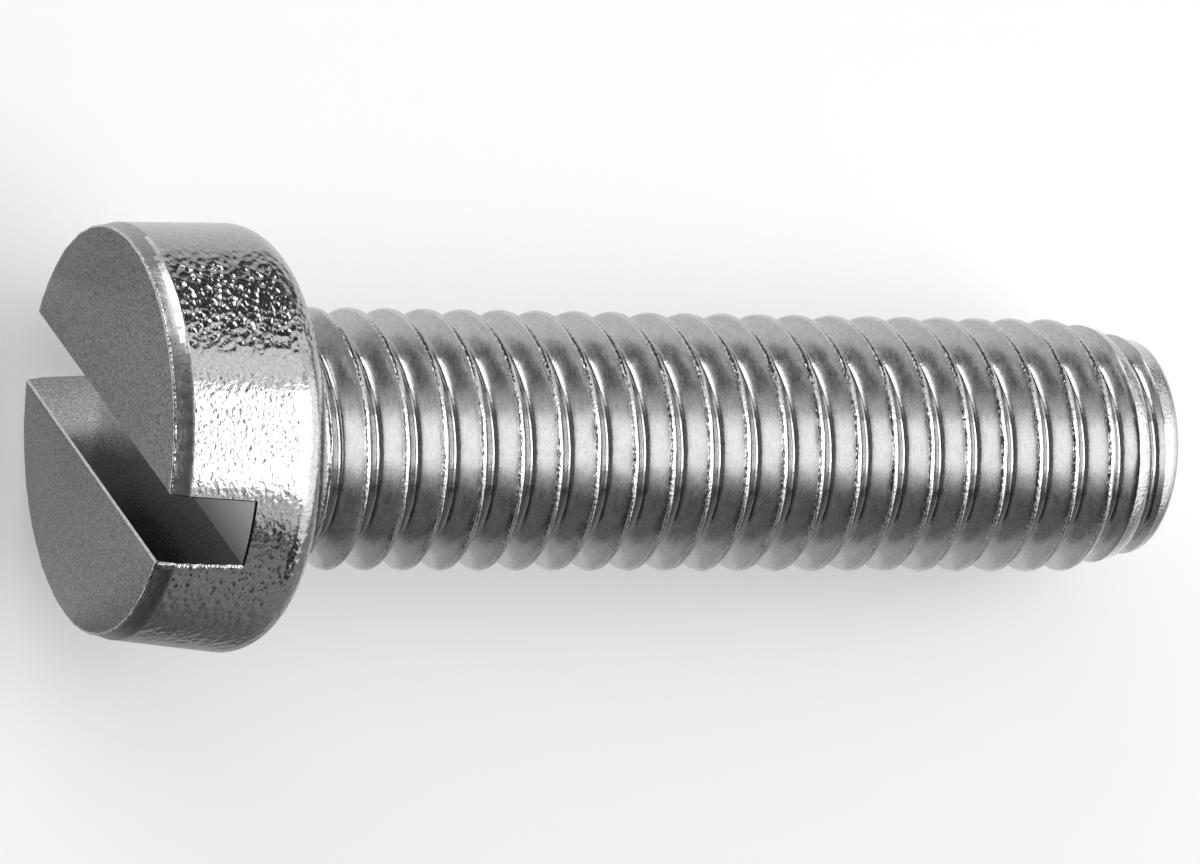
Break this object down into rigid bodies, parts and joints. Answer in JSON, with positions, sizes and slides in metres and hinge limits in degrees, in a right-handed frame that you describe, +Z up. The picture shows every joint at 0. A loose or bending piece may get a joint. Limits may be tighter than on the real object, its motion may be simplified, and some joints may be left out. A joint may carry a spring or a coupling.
{
  "type": "machine screw",
  "caption": "Slotted cheese head machine screw with a coarse metric thread up to the head; it clamps parts together through a clearance hole or into a threaded hole.",
  "frame": {"origin": "on the screw's axis, in the plane of the bearing face under the head", "axes": "+Z up; +X from the head towards the tip, with the screw's axis dipping 5.1 degrees below +X because the screw lies on its head's round rim and one of its last crests; the driver slot crosses the head 27 degrees from upright, with its upper end towards -Y"},
  "size_m": [0.0355, 0.0128, 0.0129],
  "materials": {
    "steel": "bright turned and rolled steel, lightly mottled"
  },
  "bodies": {
    "root": {"machine_screw": "steel"}
  },
  "joints": []
}
